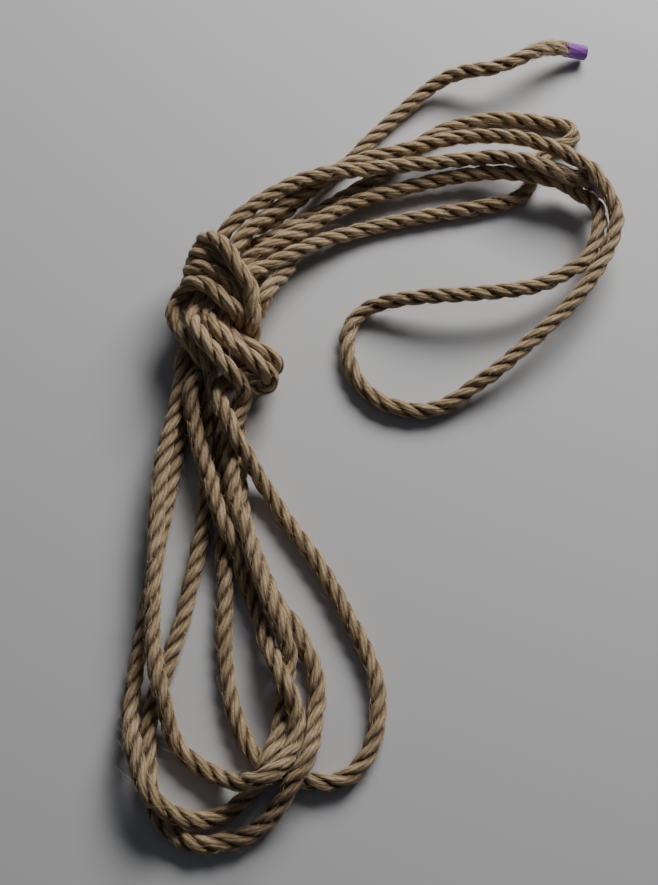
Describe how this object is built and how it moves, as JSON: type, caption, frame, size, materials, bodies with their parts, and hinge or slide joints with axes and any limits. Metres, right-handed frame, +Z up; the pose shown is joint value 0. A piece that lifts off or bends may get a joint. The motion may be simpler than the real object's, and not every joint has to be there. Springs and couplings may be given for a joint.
{
  "type": "knotted rope hank",
  "caption": "Long three-strand laid rope folded into open loops and tied round its neck with its own turns; both ends in short plastic sleeves.",
  "frame": {"origin": "centre of the hank's footprint, on the surface it lies on", "axes": "+Z up off the surface, +Y along the hank from the loops' feet to the free ends, +X to the right seen from above"},
  "size_m": [0.2526, 0.4457, 0.0437],
  "materials": {
    "rope_fibre": "dry twisted plant fibre, matt, with loose hairs",
    "sleeve_plastic": "thin purple wrap, slightly creased, soft sheen"
  },
  "bodies": {
    "root": {"free_end_1": "rope_fibre", "leg_1": "rope_fibre", "core_1": "rope_fibre", "loop_1_down": "rope_fibre", "loop_1_foot": "rope_fibre", "loop_1_up": "rope_fibre", "core_2": "rope_fibre", "leg_5": "rope_fibre", "pulled_loop_top": "rope_fibre", "pulled_loop_bottom": "rope_fibre", "leg_3": "rope_fibre", "core_3": "rope_fibre", "tuck_2": "rope_fibre", "loop_2_down": "rope_fibre", "loop_2_foot": "rope_fibre", "loop_2_up": "rope_fibre", "core_4": "rope_fibre", "back_bight": "rope_fibre", "core_5": "rope_fibre", "turn_in": "rope_fibre", "wrap_1": "rope_fibre", "wraps": "rope_fibre", "wrap_4_curl": "rope_fibre", "loop_3_up": "rope_fibre", "loop_3_foot": "rope_fibre", "loop_3_down": "rope_fibre", "tuck_3": "rope_fibre", "core_6": "rope_fibre", "leg_6": "rope_fibre", "small_bight": "rope_fibre", "leg_2": "rope_fibre", "core_7": "rope_fibre", "loop_4_down": "rope_fibre", "loop_4_foot": "rope_fibre", "loop_4_up": "rope_fibre", "tuck_1": "rope_fibre", "core_8": "rope_fibre", "leg_4": "rope_fibre", "free_end_2": "rope_fibre", "end_sleeve_1": "sleeve_plastic", "end_sleeve_2": "sleeve_plastic"}
  },
  "joints": []
}
